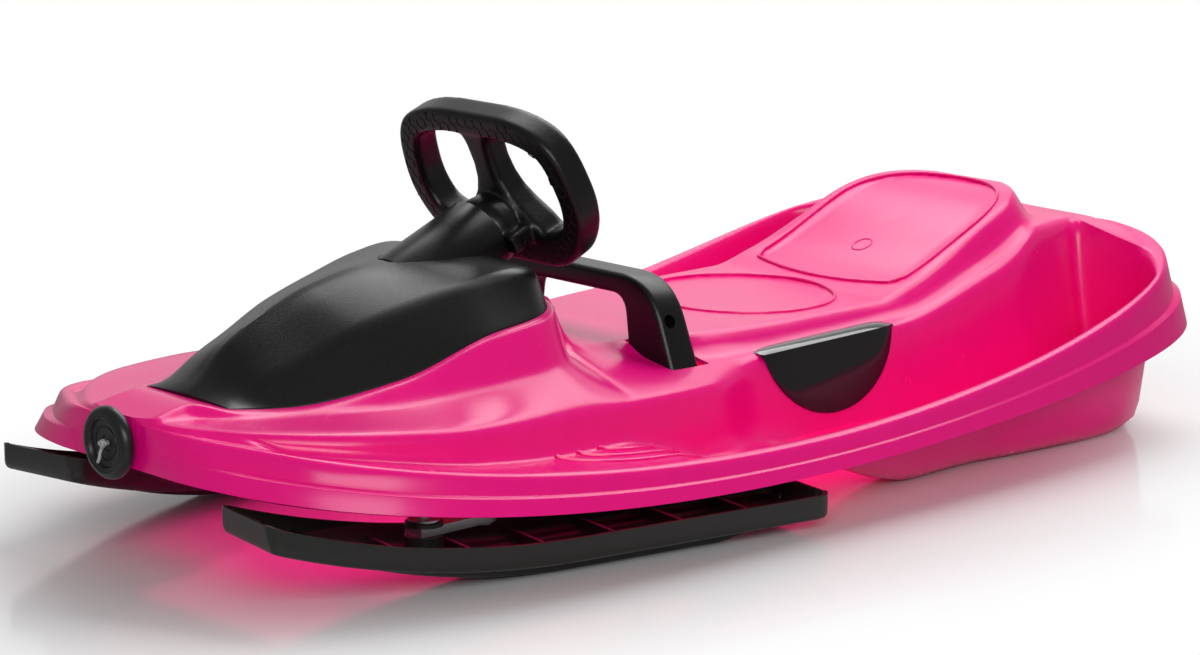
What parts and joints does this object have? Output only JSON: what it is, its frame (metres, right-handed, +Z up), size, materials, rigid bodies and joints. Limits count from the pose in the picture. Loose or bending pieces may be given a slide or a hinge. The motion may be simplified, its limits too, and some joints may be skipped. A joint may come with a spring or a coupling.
{
  "type": "steering sled",
  "caption": "Moulded snow sled with a bench hull and runners, a steering wheel that turns two front skis, a pull-back arch brake and a pull-out tow handle in the nose.",
  "frame": {"origin": "on the floor, under the middle of the sled's length and width", "axes": "+X forwards to the nose, +Y to the rider's left, +Z up"},
  "size_m": [1.1759, 0.596, 0.375],
  "materials": {
    "hull_pink": "glossy moulded",
    "trim_black": "fine grained matte",
    "ski_black": "satin moulded",
    "cover_black": "glossy",
    "bush_grey": "moulded",
    "handle_black": "satin moulded",
    "steel": "zinc plated",
    "cord_grey": "braided"
  },
  "bodies": {
    "hull": {"hull_shell": "hull_pink", "hood_cover": "trim_black", "column_cover": "trim_black", "upper_bush": "bush_grey", "lower_bush": "bush_grey", "column_bracket": "bush_grey", "hood_screws": "steel", "bracket_screws": "steel", "kingpins": "steel", "kingpin_washers": "steel", "nose_bush": "bush_grey", "reel_housing_left": "bush_grey", "reel_housing_right": "bush_grey", "reel_axle": "steel", "side_cover_left": "cover_black", "side_cover_right": "cover_black", "brake_springs": "steel"},
    "steering": {"steering_wheel": "trim_black", "steering_shaft": "steel", "wheel_bolt": "steel", "steering_crank": "steel", "crank_pin": "steel"},
    "ski_left": {"ski_left": "ski_black", "ski_arm_left": "steel", "ski_bush_left": "bush_grey"},
    "ski_right": {"ski_right": "ski_black", "ski_arm_right": "steel", "ski_bush_right": "bush_grey"},
    "tie_rod": {"tie_rod": "steel", "rod_pin_left": "steel", "rod_pin_right": "steel"},
    "brake": {"brake_arch": "trim_black", "brake_claw": "steel", "brake_axle": "steel"},
    "tow_handle": {"tow_handle": "handle_black", "tow_cord": "cord_grey", "cord_knot": "cord_grey"},
    "tow_reel": {"reel_drum": "bush_grey", "cord_winding": "cord_grey"}
  },
  "joints": [
    {"name": "wheel_turn", "type": "hinge", "parent": "hull", "child": "steering", "pos_m": [0.124, 0, 0.266], "axis": [0.9205, 0, -0.3907], "range_deg": [-35, 35]},
    {"name": "ski_left_yaw", "type": "hinge", "parent": "hull", "child": "ski_left", "pos_m": [0.381, 0.18, 0.05], "axis": [0, 0, -1], "range_deg": [-20, 20]},
    {"name": "ski_right_yaw", "type": "hinge", "parent": "hull", "child": "ski_right", "pos_m": [0.381, -0.18, 0.05], "axis": [0, 0, -1], "range_deg": [-20, 20]},
    {"name": "tie_rod_pivot", "type": "hinge", "parent": "ski_left", "child": "tie_rod", "pos_m": [0.314, 0.18, 0.058], "axis": [0, 0, -1], "range_deg": [-20, 20]},
    {"name": "brake_pull", "type": "hinge", "parent": "hull", "child": "brake", "pos_m": [0.032, 0, 0.126], "axis": [0, -1, 0], "range_deg": [0, 20], "stiffness_Nm_per_rad": 3, "springref_deg": -20.05},
    {"name": "tow_pull", "type": "slide", "parent": "hull", "child": "tow_handle", "axis": [1, 0, 0], "range_m": [0, 0.04], "stiffness_N_per_m": 60, "springref_m": -0.05},
    {"name": "reel_turn", "type": "hinge", "parent": "hull", "child": "tow_reel", "pos_m": [0.52, 0, 0.112], "axis": [0, 1, 0], "range_deg": [0, 165]}
  ],
  "couplings": [
    {"joint": "ski_left_yaw", "follows": "wheel_turn", "ratio": 0.571},
    {"joint": "ski_right_yaw", "follows": "wheel_turn", "ratio": 0.571},
    {"joint": "tie_rod_pivot", "follows": "wheel_turn", "ratio": -0.571},
    {"joint": "reel_turn", "follows": "tow_pull", "rad_per_m": 71.429}
  ]
}
